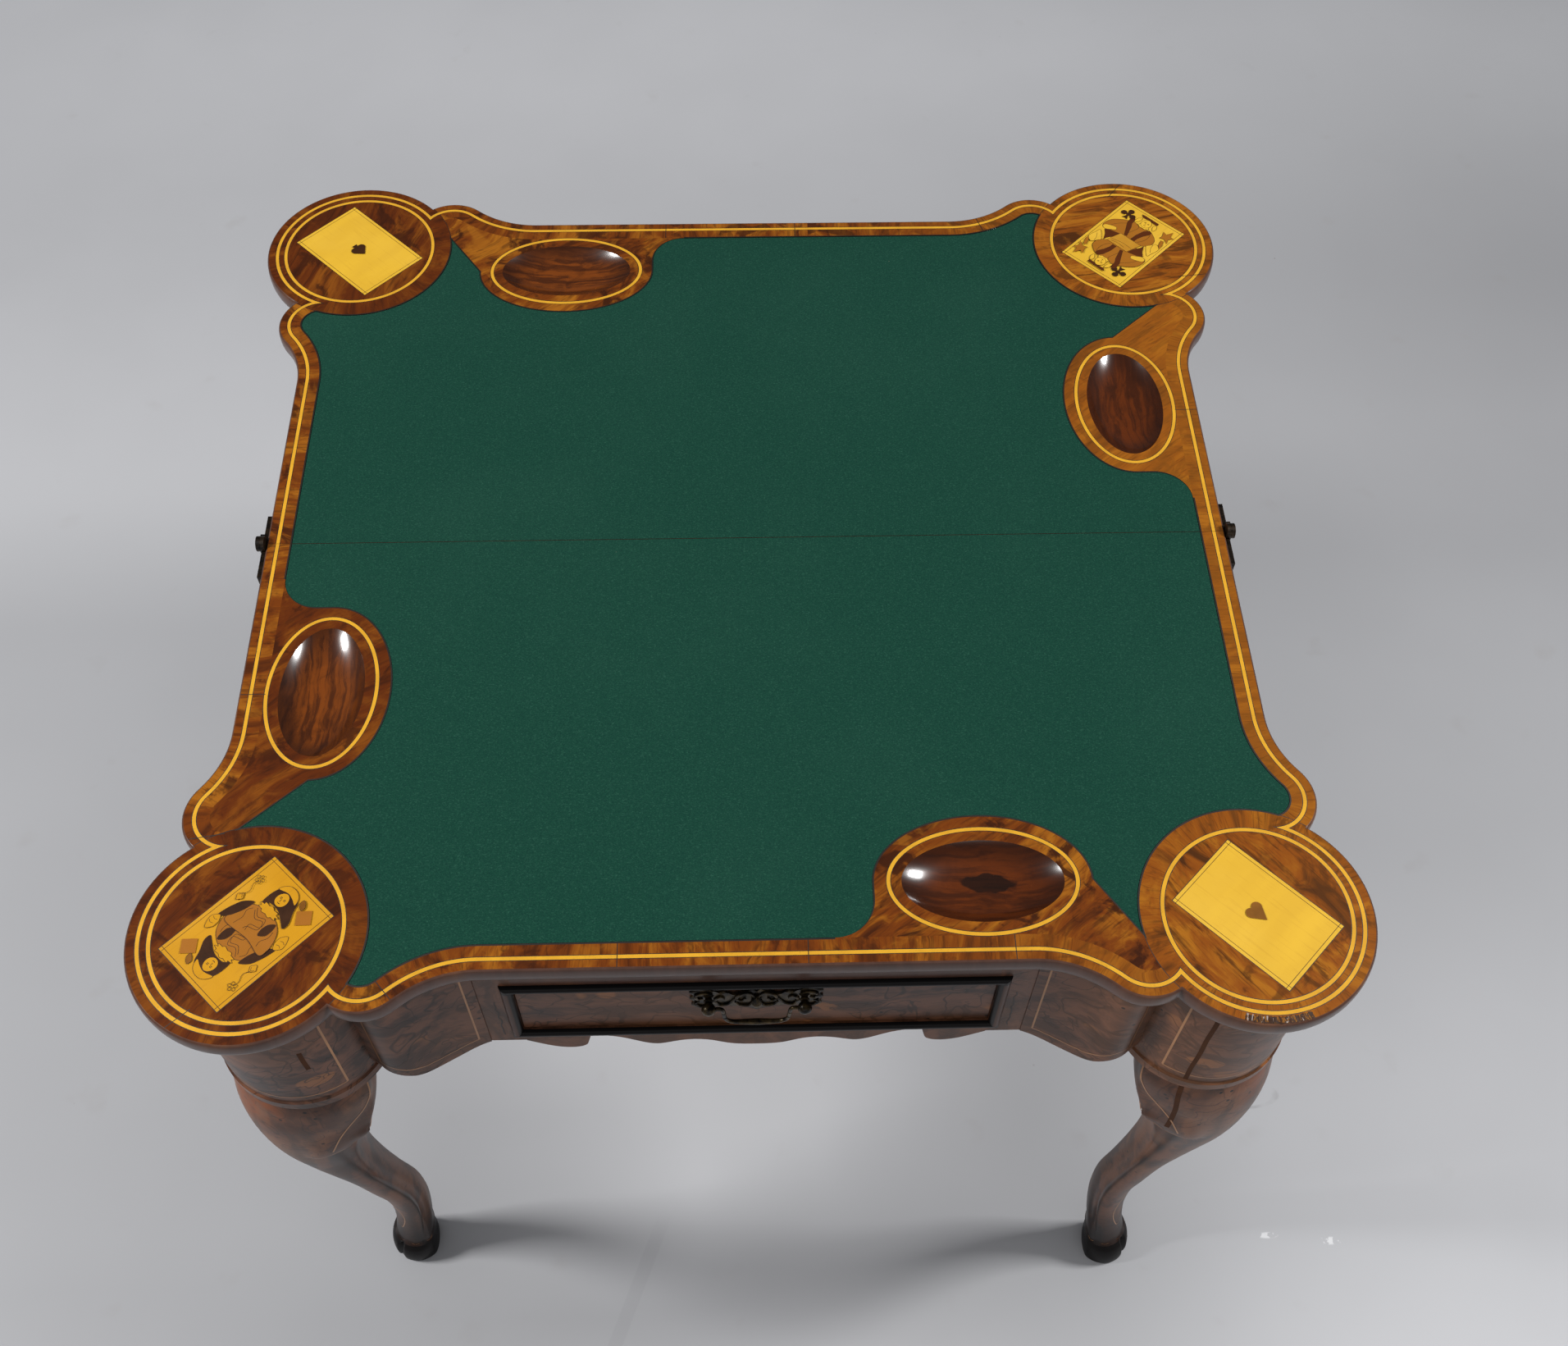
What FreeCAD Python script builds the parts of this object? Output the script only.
"""Folding game table with round outset corners, a frieze drawer and cabriole legs on hooves.

Millimetres. +X runs to the right of a person who sits at the drawer, +Y to the back, +Z up. The origin is
on the floor, under the middle of the joint between the two leaves. The table stands open: the rear leaf
lies flat on the two gates that are swung out behind the fixed frame.
"""
import FreeCAD, Part
import Sketcher
import math
import os
import re

Vector = FreeCAD.Vector

SIZES = {
    # the two leaves, seen from above; depths below the playing surface are called drops
    "top_height": 750.0,
    "leaf_thickness": 20.0,
    "leaf_half_length": 375.0,
    "leaf_half_depth": 362.0,
    "leaf_joint_gap": 0.3,
    "corner_side_inset": 35.0,
    "corner_front_inset": 32.0,
    "disc_radius": 81.0,
    "front_ogee_run": 155.0,
    "front_hollow_radius": 82.0,
    "front_lobe_radius": 35.0,
    "front_lobe_reach": 28.0,
    "side_ogee_run": 158.0,
    "side_hollow_radius": 73.0,
    "side_lobe_radius": 35.0,
    "side_lobe_reach": 24.0,
    # moulded edge of a leaf
    "edge_round": 2.0,
    "edge_shoulder_drop": 3.0,
    "edge_crest_drop": 8.0,
    "edge_under": 1.0,
    # inlays and cloth
    "inlay_depth": 0.8,
    "string_width": 2.6,
    "string_inset": 8.0,
    "ring_radius": 64.3,
    "card_length": 95.0,
    "card_width": 64.5,
    "pip_height": 15.0,
    "baize_inset": 20.0,
    "baize_recess": 1.0,
    "baize_thickness": 0.8,
    "baize_clearance": 0.3,
    # counter wells
    "well_edge_distance": 60.5,
    "front_well_from_corner": 184.0,
    "side_well_from_corner": 192.5,
    "well_half_length": 56.0,
    "well_half_width": 31.0,
    "well_depth": 9.0,
    "well_line_margin": 9.0,
    "well_bank_margin": 20.0,
    "well_bank_fillet": 27.0,
    "front_flank_run": 27.5,
    "side_flank_run": 36.0,
    # hinges let into the ends of the joint
    "hinge_axis_rise": 0.3,
    "hinge_plate": 3.0,
    "hinge_let_in": 1.5,
    "hinge_ear_radius": 6.0,
    "hinge_ear_clearance": 0.2,
    "hinge_leaf_length": 30.0,
    "hinge_leaf_height": 12.0,
    "hinge_leaf_drop": 3.0,
    "hinge_pin_radius": 2.0,
    "hinge_bore_clearance": 0.05,
    "hinge_screw_radius": 1.4,
    "hinge_screw_length": 12.0,
    "hinge_screw_head_radius": 2.6,
    "hinge_screw_head": 0.7,
    # frieze
    "overhang": 17.0,
    "apron_thickness": 16.0,
    "opening_end_inset": 14.0,
    "opening_top_drop": 71.0,
    "opening_bottom_drop": 141.0,
    "surround_width": 9.0,
    "surround_rise": 4.0,
    "stile_width": 26.0,
    "stile_bottom_drop": 161.0,
    "bottom_rail_depth": 37.0,
    "side_apron_depth": 132.0,
    # drums over the front legs
    "drum_side_set_back": 6.0,
    "drum_front_set_back": 4.0,
    "drum_radius": 66.0,
    "drum_bottom_drop": 168.0,
    "drum_rim_height": 9.0,
    "drum_rim_rise": 1.5,
    # fixed back, gates and rear drums
    "gate_set_in": 14.0,
    "gate_thickness": 26.0,
    "gate_height": 80.0,
    "gate_axis_across": 58.0,
    "gate_clearance": 0.3,
    "gate_pin_radius": 3.0,
    "gate_pin_clearance": 0.05,
    "finger_gap": 0.4,
    "back_rail_thickness": 18.0,
    "back_rail_height": 137.0,
    "back_rail_end_clearance": 4.5,
    "rear_drum_radius": 44.0,
    "rear_drum_inset": 50.0,
    "rear_corner_clearance": 6.0,
    # legs
    "leg_spread": 66.0,
    "tenon_radius": 18.0,
    "tenon_length": 40.0,
    "cleft_width": 2.5,
    "cleft_depth": 6.0,
    "cleft_height": 34.0,
    # drawer
    "drawer_clearance": 0.5,
    "drawer_set_back": 1.5,
    "drawer_front_thickness": 18.0,
    "drawer_side_thickness": 10.0,
    "drawer_side_height": 64.0,
    "drawer_end_clearance": 24.2,
    "drawer_back_thickness": 9.0,
    "drawer_bottom_thickness": 6.0,
    "drawer_bottom_rise": 6.0,
    "drawer_groove": 4.0,
    "runner_width": 34.0,
    "runner_height": 16.0,
    "runner_gap": 0.3,
    "guide_height": 20.0,
    "kicker_width": 25.0,
    "kicker_height": 20.0,
    # drop handle
    "plate_half_length": 47.5,
    "plate_half_height": 16.5,
    "plate_drop": 90.5,
    "plate_thickness": 2.5,
    "post_half_spacing": 34.0,
    "post_drop": 84.0,
    "post_radius": 2.5,
    "post_reach": 12.5,
    "post_ball_radius": 5.0,
    "nut_radius": 6.0,
    "nut_thickness": 3.0,
    "bail_drop": 26.0,
    "bail_wire_radius": 1.8,
    "bail_pin_radius": 1.4,
    "bail_pin_clearance": 0.06,
    "bail_pin_depth": 2.5,
    "bail_shoulder": 24.5,
    "bail_foot": 18.0,
    "bail_bend": 6.0,
    # fixings under the top
    "fixing_block": 22.0,
    "fixing_block_length": 45.0,
    "fixing_block_gap": 12.0,
    "top_screw_radius": 2.2,
    "top_screw_length": 32.0,
    "top_screw_head_radius": 4.5,
    "top_screw_head": 2.0,
    # how far a cutting shape runs past what it cuts
    "overrun": 40.0,
}

# Sizes that follow from the ones above: the round corners keep their distance from the leaf's edges, the
# drums stand under them, the gates reach the rear corners and the drawer ends short of the back rail.
FOLLOWING = {
    "disc_across": "leaf_half_length - corner_side_inset",
    "disc_back": "leaf_half_depth - corner_front_inset",
    "front_straight": "disc_across - front_ogee_run",
    "side_straight": "disc_back - side_ogee_run",
    "front_well_along": "disc_across - front_well_from_corner",
    "side_well_along": "disc_back - side_well_from_corner",
    "opening_half_width": "front_straight - opening_end_inset",
    "drum_across": "disc_across - drum_side_set_back",
    "drum_back": "disc_back - drum_front_set_back",
    "gate_reach": "leaf_half_length - rear_drum_inset - gate_axis_across",
    "back_rail_half_length": "gate_axis_across + gate_reach - rear_drum_radius - drum_rim_rise"
                             " - back_rail_end_clearance",
    "drawer_length": "leaf_half_depth - overhang - drawer_set_back - drawer_front_thickness - gate_set_in"
                     " - gate_thickness - gate_clearance - back_rail_thickness - drawer_end_clearance",
}
CELLS = {**SIZES, **{alias: "=" + words for alias, words in FOLLOWING.items()}}
GATE_SWING_DEGREES = 65.0

# Bottom edge of the rail under the drawer, from its middle to its ends. Each pair is a share of
# opening_half_width along X and a share of bottom_rail_depth down from the opening.
SCALLOP_SHARES = [(0.0, 1.0), (0.12, 0.93), (0.2, 0.75), (0.3, 0.7), (0.38, 0.81), (0.43, 0.88),
                  (0.5, 0.77), (0.585, 0.52), (0.65, 0.41), (0.72, 0.39)]
HOOK_SHARES = [(0.735, 0.72), (0.76, 0.92), (0.82, 0.98), (0.91, 0.84), (1.0, 0.57)]

# Bottom edge of a frieze bracket that curves out to a drum. The first number is the share of the way from
# the straight frieze to the drum's axis, the second the share of stile_bottom_drop below the top.
BRACKET_SHARES = [(0.0, 1.0), (0.11, 1.045), (0.19, 1.075), (0.27, 1.085), (0.34, 1.07), (0.41, 1.0),
                  (0.48, 0.95), (0.56, 0.925), (0.7, 0.95), (1.0, 1.0)]

# Cabriole leg, from the floor up: the height as a share of the leg's height, then as shares of leg_spread
# how far the section's middle stands out from the drum's axis, its half width, how far it swells outwards
# and how deep it is inwards.
LEG_SHARES = [
    (0.0, 0.33, 0.35, 0.365, 0.31),
    (0.03, 0.32, 0.362, 0.375, 0.318),
    (0.06, 0.3, 0.35, 0.345, 0.305),
    (0.09, 0.25, 0.315, 0.285, 0.3),
    (0.15, 0.185, 0.292, 0.245, 0.325),
    (0.22, 0.155, 0.285, 0.215, 0.35),
    (0.31, 0.175, 0.295, 0.215, 0.36),
    (0.41, 0.265, 0.325, 0.24, 0.345),
    (0.51, 0.345, 0.35, 0.285, 0.335),
    (0.6, 0.4, 0.38, 0.38, 0.345),
    (0.68, 0.41, 0.45, 0.51, 0.4),
    (0.76, 0.345, 0.6, 0.7, 0.48),
    (0.84, 0.23, 0.78, 0.88, 0.54),
    (0.91, 0.11, 0.9, 0.99, 0.54),
    (0.96, 0.03, 0.95, 0.99, 0.5),
    (1.0, 0.0, 0.92, 0.93, 0.45),
]
LEG_BACK_BLUNT_SHARE = 0.22
KNEE_START_SHARE = 0.5
REAR_KNEE_SHARE = 1.08
LEG_FRONT_POINTS = 9

# Rings of a dished well from its middle to its rim, as shares of its half length and half width
DISH_SHARES = [0.08, 0.3, 0.5, 0.68, 0.83, 0.93, 1.0]

# Suit signs in sizes of a quarter of their height, upright along the card's length: the middles and radii
# of the round lobes, then the corners of the straight parts.
CLUB_LOBE_SHARES = [(1.0, 0.0, 1.0), (-0.3, 1.0, 1.0), (-0.3, -1.0, 1.0), (0.2, 0.0, 0.6)]
SPADE_LOBE_SHARES = [(-0.4, 0.85, 1.0), (-0.4, -0.85, 1.0)]
SPADE_POINT_SHARES = [(2.0, 0.0), (0.05, 1.74), (-0.4, 0.0), (0.05, -1.74)]
HEART_LOBE_SHARES = [(0.9, 0.85, 1.0), (0.9, -0.85, 1.0)]
HEART_POINT_SHARES = [(-2.0, 0.0), (0.45, 1.74), (1.0, 0.0), (0.45, -1.74)]
STEM_SHARES = [(-0.3, 0.0), (-2.0, 0.7), (-2.0, -0.7)]
DIAMOND_SHARES = [(2.0, 0.0), (0.0, 1.95), (-2.0, 0.0), (0.0, -1.95)]

# Pierced backplate of the drop handle: shares of its half length and half height, right half from the top.
PLATE_SHARES = [(0.0, 0.72), (0.1, 1.0), (0.22, 0.8), (0.36, 0.5), (0.52, 0.56), (0.66, 0.95),
                (0.84, 0.9), (1.0, 0.62), (0.93, 0.2), (1.0, -0.2), (0.9, -0.68), (0.76, -0.5),
                (0.66, -0.78), (0.5, -0.62), (0.36, -0.86), (0.2, -0.6), (0.09, -1.0), (0.0, -1.4)]

doc = FreeCAD.newDocument("game_table")
sheet = doc.addObject("Spreadsheet::Sheet", "sizes")
for row, (alias, value) in enumerate(CELLS.items(), 1):
    sheet.set("A%d" % row, alias)
    sheet.set("B%d" % row, str(value))
    sheet.setAlias("B%d" % row, alias)
doc.recompute()

nodes = []


def size(alias):
    """Value of one cell of the sheet."""
    return float(sheet.get(alias))


def cells(words):
    """Expression in which every alias is written as a cell of the sheet."""
    return re.sub(r"[a-z_]+", lambda word: ("sizes." if word.group() in CELLS else "") + word.group(), words)


def keep(shape_object, label):
    """Name a finished sub-part."""
    shape_object.Label = label
    nodes.append(shape_object)
    return shape_object


def sided(side, low, high):
    """Pair of expressions on the right (side 1), or the same pair mirrored to the left (side -1)."""
    if side > 0:
        return low, high
    return "-(%s)" % high, "-(%s)" % low


def block(name, x, y, z):
    """Box between three pairs of expressions."""
    box = doc.addObject("Part::Box", name)
    for property_name, (low, high) in zip(("Length", "Width", "Height"), (x, y, z)):
        box.setExpression(property_name, cells("(%s) - (%s)" % (high, low)))
    for axis, (low, high) in zip("xyz", (x, y, z)):
        box.setExpression(".Placement.Base." + axis, cells(low))
    return box


def rod(name, radius, length, x, y, z, along="Z"):
    """Cylinder that starts at (x, y, z) and runs along an axis."""
    turns = {"Z": (Vector(0, 0, 1), 0), "X": (Vector(0, 1, 0), 90), "Y": (Vector(1, 0, 0), -90)}
    cylinder = doc.addObject("Part::Cylinder", name)
    cylinder.setExpression("Radius", cells(radius))
    cylinder.setExpression("Height", cells(length))
    cylinder.Placement = FreeCAD.Placement(Vector(), FreeCAD.Rotation(*turns[along]))
    for axis, place in zip("xyz", (x, y, z)):
        cylinder.setExpression(".Placement.Base." + axis, cells(place))
    return cylinder


def ball(name, radius, x, y, z):
    """Sphere about a point."""
    sphere = doc.addObject("Part::Sphere", name)
    sphere.setExpression("Radius", cells(radius))
    for axis, place in zip("xyz", (x, y, z)):
        sphere.setExpression(".Placement.Base." + axis, cells(place))
    return sphere


def cut(name, base, *tools):
    """Base less one or more tools."""
    result = doc.addObject("Part::Cut", name)
    result.Base = base
    result.Tool = tools[0] if len(tools) == 1 else fuse(name + "_tools", *tools)
    return result


def fuse(name, *parts):
    """Union of several shapes."""
    result = doc.addObject("Part::MultiFuse", name)
    result.Shapes = list(parts)
    return result


def group(name, *parts):
    """Separate solids that share one node."""
    result = doc.addObject("Part::Compound", name)
    result.Links = list(parts)
    return result


def mirrored(name, source):
    """Source mirrored to the other side of the table."""
    result = doc.addObject("Part::Mirroring", name)
    result.Source = source
    result.Normal = Vector(1, 0, 0)
    return result


def shaped(name, shape, placement=None):
    """Part::Feature that holds a shape made with Part's own functions."""
    feature = doc.addObject("Part::Feature", name)
    feature.Shape = shape
    feature.Placement = placement or FreeCAD.Placement()
    return feature


def origin_plane(body, role):
    """Origin plane of a body."""
    return next(plane for plane in body.Origin.OriginFeatures if plane.Role == role)


def turned(name, profile):
    """Body turned about Z from the corners (radius, height) of its half section, as expressions."""
    body = doc.addObject("PartDesign::Body", name)
    sketch = body.newObject("Sketcher::SketchObject", name + "_section")
    sketch.AttachmentSupport = [(origin_plane(body, "XZ_Plane"), "")]
    sketch.MapMode = "FlatFace"
    places = [[float(sheet.evalExpression(cells(word))) for word in corner] for corner in profile]
    count = len(profile)
    for index, (start, end) in enumerate(zip(places, places[1:] + places[:1])):
        sketch.addGeometry(Part.LineSegment(Vector(*start, 0), Vector(*end, 0)))
    for index in range(count):
        sketch.addConstraint(Sketcher.Constraint("Coincident", index, 2, (index + 1) % count, 1))
    for index, corner in enumerate(profile):
        for kind, word, place, axis in (("DistanceX", corner[0], places[index][0], -2),
                                        ("DistanceY", corner[1], places[index][1], -1)):
            if word == "0":
                sketch.addConstraint(Sketcher.Constraint("PointOnObject", index, 1, axis))
                continue
            number = sketch.addConstraint(Sketcher.Constraint(kind, -1, 1, index, 1, place))
            sketch.setExpression("Constraints[%d]" % number, cells(word))
    revolution = body.newObject("PartDesign::Revolution", name + "_turning")
    revolution.Profile = sketch
    revolution.ReferenceAxis = (sketch, ["V_Axis"])
    revolution.Angle = 360.0
    return body


def stand(body, x, y, z):
    """Place a turned body with its foot at expressions."""
    for axis, place in zip("xyz", (x, y, z)):
        body.setExpression(".Placement.Base." + axis, cells(place))
    return body


# Outline of a leaf and of the lines that follow it
def meeting(centre_a, radius_a, centre_b, radius_b, score):
    """Crossing of two circles for which score is highest."""
    apart = centre_b - centre_a
    distance = apart.Length
    along = (distance ** 2 + radius_a ** 2 - radius_b ** 2) / (2 * distance)
    aside = math.sqrt(radius_a ** 2 - along ** 2)
    unit = apart / distance
    across = Vector(-unit.y, unit.x, 0)
    return max((centre_a + unit * along + across * turn * aside for turn in (1, -1)), key=score)


def arc_about(centre, radius, start, end, through):
    """Arc about a centre that passes on the side of the point through."""
    middle = centre + (through - centre).normalize() * radius
    return Part.Arc(start, middle, end).toShape()


def ogee_centres():
    """Centres of the hollow and the lobe on the front edge, then on the side edge, of the right corner."""
    front_hollow = Vector(size("front_straight"), -size("leaf_half_depth") - size("front_hollow_radius"), 0)
    lobe_drop = size("front_hollow_radius") + size("front_lobe_radius") - size("front_lobe_reach")
    span = size("front_hollow_radius") + size("front_lobe_radius")
    front_lobe = front_hollow + Vector(math.sqrt(span ** 2 - lobe_drop ** 2), lobe_drop, 0)
    side_hollow = Vector(size("leaf_half_length") + size("side_hollow_radius"), -size("side_straight"), 0)
    lobe_drop = size("side_hollow_radius") + size("side_lobe_radius") - size("side_lobe_reach")
    span = size("side_hollow_radius") + size("side_lobe_radius")
    side_lobe = side_hollow + Vector(-lobe_drop, -math.sqrt(span ** 2 - lobe_drop ** 2), 0)
    return front_hollow, front_lobe, side_hollow, side_lobe


def front_ogee(inset, start_x, end):
    """Edges from (start_x, front edge) over the hollow and the lobe to the point end, at an inset."""
    hollow, lobe, side_hollow, side_lobe = ogee_centres()
    hollow_radius = size("front_hollow_radius") + inset
    lobe_radius = size("front_lobe_radius") - inset
    start = Vector(start_x, -size("leaf_half_depth") + inset, 0)
    turn = Vector(size("front_straight"), start.y, 0)
    tangent = hollow + (lobe - hollow).normalize() * hollow_radius
    halfway = (turn + tangent) * 0.5
    return [Part.LineSegment(start, turn).toShape(),
            arc_about(hollow, hollow_radius, turn, tangent, halfway),
            arc_about(lobe, lobe_radius, tangent, end, lobe + Vector(0, -lobe_radius, 0))]


def side_ogee(inset, start, end_y):
    """Edges from the point start over the side lobe and hollow to (side edge, end_y)."""
    front_hollow, front_lobe, hollow, lobe = ogee_centres()
    hollow_radius = size("side_hollow_radius") + inset
    lobe_radius = size("side_lobe_radius") - inset
    end = Vector(size("leaf_half_length") - inset, end_y, 0)
    turn = Vector(end.x, -size("side_straight"), 0)
    tangent = hollow + (lobe - hollow).normalize() * hollow_radius
    halfway = (turn + tangent) * 0.5
    return [arc_about(lobe, lobe_radius, start, tangent, lobe + Vector(lobe_radius, 0, 0)),
            arc_about(hollow, hollow_radius, tangent, turn, halfway),
            Part.LineSegment(turn, end).toShape()]


def disc_centre():
    """Middle of the round corner at the front right."""
    return Vector(size("disc_across"), -size("disc_back"), 0)


def quarter_edges(inset, corner_radius, corner_outwards):
    """Edges of the right front quarter, from the middle of the front to the joint."""
    front_hollow, front_lobe, side_hollow, side_lobe = ogee_centres()
    centre = disc_centre()
    first = meeting(front_lobe, size("front_lobe_radius") - inset, centre, corner_radius, lambda p: -p.y)
    second = meeting(side_lobe, size("side_lobe_radius") - inset, centre, corner_radius, lambda p: p.x)
    outwards = Vector(1, -1, 0) if corner_outwards else Vector(-1, 1, 0)
    corner = arc_about(centre, corner_radius, first, second, centre + outwards)
    return (front_ogee(inset, 0, first) + [corner]
            + side_ogee(inset, second, -size("leaf_joint_gap") / 2))


def half_wire(inset, drop=0.0, corner_radius=None, corner_outwards=True):
    """Closed wire round the front leaf, inset from its edge, at a drop below the playing surface."""
    if corner_radius is None:
        corner_radius = size("disc_radius") - inset
    right = quarter_edges(inset, corner_radius, corner_outwards)
    left = [edge.mirror(Vector(), Vector(1, 0, 0)) for edge in reversed(right)]
    joint_end = Vector(size("leaf_half_length") - inset, -size("leaf_joint_gap") / 2, 0)
    closing = Part.LineSegment(joint_end, Vector(-joint_end.x, joint_end.y, 0)).toShape()
    wire = Part.Wire(Part.__sortEdges__(right + [closing] + left))
    wire.translate(Vector(0, 0, size("top_height") - drop))
    return wire


def slab(face, drop, thickness):
    """Solid of a face at the playing surface, sunk by a drop."""
    solid = face.extrude(Vector(0, 0, -thickness))
    solid.translate(Vector(0, 0, -drop))
    return solid


def ring_face(centre, radius, width):
    """Flat ring at the playing surface."""
    top = Vector(centre.x, centre.y, size("top_height"))
    outer = Part.Face(Part.Wire(Part.Circle(top, Vector(0, 0, 1), radius + width / 2).toShape()))
    inner = Part.Face(Part.Wire(Part.Circle(top, Vector(0, 0, 1), radius - width / 2).toShape()))
    return outer.cut(inner)


class Well:
    """One counter well, in its own directions: along to the round corner, and out to the edge."""

    def __init__(self, along, out, along_middle, edge, flank):
        self.along = along
        self.out = out
        self.flank = flank
        self.middle_along = along_middle
        self.middle_out = edge - size("well_edge_distance")
        self.centre = self.point(0, 0)

    def point(self, along, out):
        """Point at distances from the well's middle, at the playing surface."""
        place = self.along * (self.middle_along + along) + self.out * (self.middle_out + out)
        return place + Vector(0, 0, size("top_height"))

    def ellipse(self, length, width, drop=0.0):
        """Ellipse about the well's middle, at a drop below the playing surface."""
        sunk = Vector(0, 0, -drop)
        return Part.Ellipse(self.point(length, 0) + sunk, self.point(0, width) + sunk, self.centre + sunk)

    def oval(self, margin):
        """Face of an oval that stands outside the hollow by a margin."""
        edge = self.ellipse(size("well_half_length") + margin, size("well_half_width") + margin).toShape()
        return Part.Face(Part.Wire(edge))

    def line(self):
        """Face of the stringing round the well."""
        half = size("string_width") / 2
        return self.oval(size("well_line_margin") + half).cut(self.oval(size("well_line_margin") - half))

    def hollow(self):
        """Dished solid that is cut out of the leaf, deepest in the middle."""
        wires = []
        for share in DISH_SHARES:
            drop = (1 - share ** 2) * size("well_depth")
            wires.append(Part.Wire(self.ellipse(share * size("well_half_length"),
                                                share * size("well_half_width"), drop).toShape()))
        return Part.makeLoft(wires, True, False)

    def bank(self, clearance):
        """Face of the wooden bank that carries the well and bounds the cloth, grown by a clearance."""
        length = size("well_half_length") + size("well_bank_margin") + clearance
        width = size("well_half_width") + size("well_bank_margin") + clearance
        fillet = size("well_bank_fillet") - clearance
        cloth_edge = size("well_edge_distance") - size("baize_inset") - clearance
        past = cloth_edge + size("overrun")
        flank = self.flank / cloth_edge
        corner = Part.Arc(self.point(-length, cloth_edge - fillet),
                          self.point(-length - fillet * (1 - math.sqrt(0.5)),
                                     cloth_edge - fillet * (1 - math.sqrt(0.5))),
                          self.point(-length - fillet, cloth_edge))
        points = [self.point(-length - fillet, cloth_edge), self.point(-length - fillet, past),
                  self.point(length + flank * past, past), self.point(length, 0)]
        edges = [Part.LineSegment(a, b).toShape() for a, b in zip(points, points[1:])]
        oval = Part.Ellipse(self.point(length, 0), self.point(0, -width), self.centre)
        edges.append(Part.ArcOfEllipse(oval, 0, math.pi).toShape())
        side = Part.LineSegment(self.point(-length, 0), self.point(-length, cloth_edge - fillet))
        edges.append(side.toShape())
        edges.append(corner.toShape())
        return Part.Face(Part.Wire(Part.__sortEdges__(edges)))


def front_wells():
    """Wells of the front leaf: at the right of the front edge, and on the left edge."""
    return [Well(Vector(1, 0, 0), Vector(0, -1, 0), size("front_well_along"), size("leaf_half_depth"),
                 size("front_flank_run")),
            Well(Vector(0, -1, 0), Vector(-1, 0, 0), size("side_well_along"), size("leaf_half_length"),
                 size("side_flank_run"))]


def stringing_faces():
    """Boxwood lines of the front leaf."""
    inner = size("string_inset") + size("string_width")
    edge_line = Part.Face(half_wire(size("string_inset"))).cut(Part.Face(half_wire(inner)))
    centre = disc_centre()
    rings = [ring_face(Vector(side * centre.x, centre.y, 0), size("ring_radius"), size("string_width"))
             for side in (-1, 1)]
    return [edge_line] + rings + [well.line() for well in front_wells()]


def card_faces():
    """Two card panels of the front leaf, each with its long side pointing out of its round corner."""
    faces = []
    for side in (-1, 1):
        plane = Part.makePlane(size("card_length"), size("card_width"),
                               Vector(-size("card_length") / 2, -size("card_width") / 2, 0))
        plane.rotate(Vector(), Vector(0, 0, 1), -45 if side > 0 else -135)
        plane.translate(Vector(side * size("disc_across"), -size("disc_back"), size("top_height")))
        faces.append(plane)
    return faces


def cloth_face(clearance):
    """Area of the cloth on the front leaf, drawn in by a clearance."""
    wire = half_wire(size("baize_inset") + clearance, corner_radius=size("disc_radius") + clearance,
                     corner_outwards=False)
    face = Part.Face(wire)
    for well in front_wells():
        face = face.cut(well.bank(clearance))
    return face


def hinge_pocket(side, behind):
    """Box let into the end of a leaf for its hinge plate; behind is -1 for the front leaf."""
    length = size("hinge_leaf_length")
    pocket = Part.makeBox(size("hinge_let_in") + size("overrun"), length, size("hinge_leaf_height"))
    pocket.translate(Vector(size("leaf_half_length") - size("hinge_let_in"),
                            -length if behind < 0 else 0,
                            size("top_height") - size("hinge_leaf_drop") - size("hinge_leaf_height")))
    if side < 0:
        pocket = pocket.mirror(Vector(), Vector(1, 0, 0))
    return pocket


def leaf_shape():
    """Front leaf: moulded board with its wells, the bed of the cloth and the grooves of the inlays."""
    profile = [(0.0, size("edge_round")), (size("edge_shoulder_drop"), size("edge_round") / 5),
               (size("edge_crest_drop"), 0.0), (size("leaf_thickness"), size("edge_under"))]
    wires = [half_wire(inset, drop) for drop, inset in profile]
    board = Part.makeLoft(wires, True, True)
    tools = [slab(face, 0, size("inlay_depth")) for face in stringing_faces() + card_faces()]
    tools.append(slab(cloth_face(0), 0, size("baize_recess")))
    tools += [well.hollow() for well in front_wells()]
    tools += [hinge_pocket(side, -1) for side in (-1, 1)]
    for tool in tools:
        board = board.cut(tool)
    return board.removeSplitter()


def suit_solid(suit):
    """Inlaid suit sign about the origin, upright along +X, its top at z = 0."""
    unit = size("pip_height") / 4
    deep = size("inlay_depth")
    lobes = {"club": CLUB_LOBE_SHARES, "spade": SPADE_LOBE_SHARES, "heart": HEART_LOBE_SHARES}
    corners = {"club": [STEM_SHARES], "spade": [SPADE_POINT_SHARES, STEM_SHARES],
               "heart": [HEART_POINT_SHARES], "diamond": [DIAMOND_SHARES]}
    parts = [Part.makeCylinder(radius * unit, deep, Vector(x * unit, y * unit, -deep))
             for x, y, radius in lobes.get(suit, [])]
    for shares in corners[suit]:
        points = [Vector(x * unit, y * unit, -deep) for x, y in shares]
        parts.append(Part.Face(Part.makePolygon(points + points[:1])).extrude(Vector(0, 0, deep)))
    if len(parts) == 1:
        return parts[0]
    return parts[0].multiFuse(parts[1:]).removeSplitter()


def pip_solids(signs):
    """Suit signs let into card panels."""
    solids = []
    for side, depth, suit, along, across in signs:
        solid = suit_solid(suit)
        angle = math.degrees(math.atan2(depth, side))
        if suit in ("heart", "spade") or along < 0:
            solid.rotate(Vector(), Vector(0, 0, 1), 180)
        solid.translate(Vector(along * size("card_length"), across * size("card_width"), 0))
        solid.rotate(Vector(), Vector(0, 0, 1), angle)
        solid.translate(Vector(side * size("disc_across"), depth * size("disc_back"), size("top_height")))
        solids.append(solid)
    return solids


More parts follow.
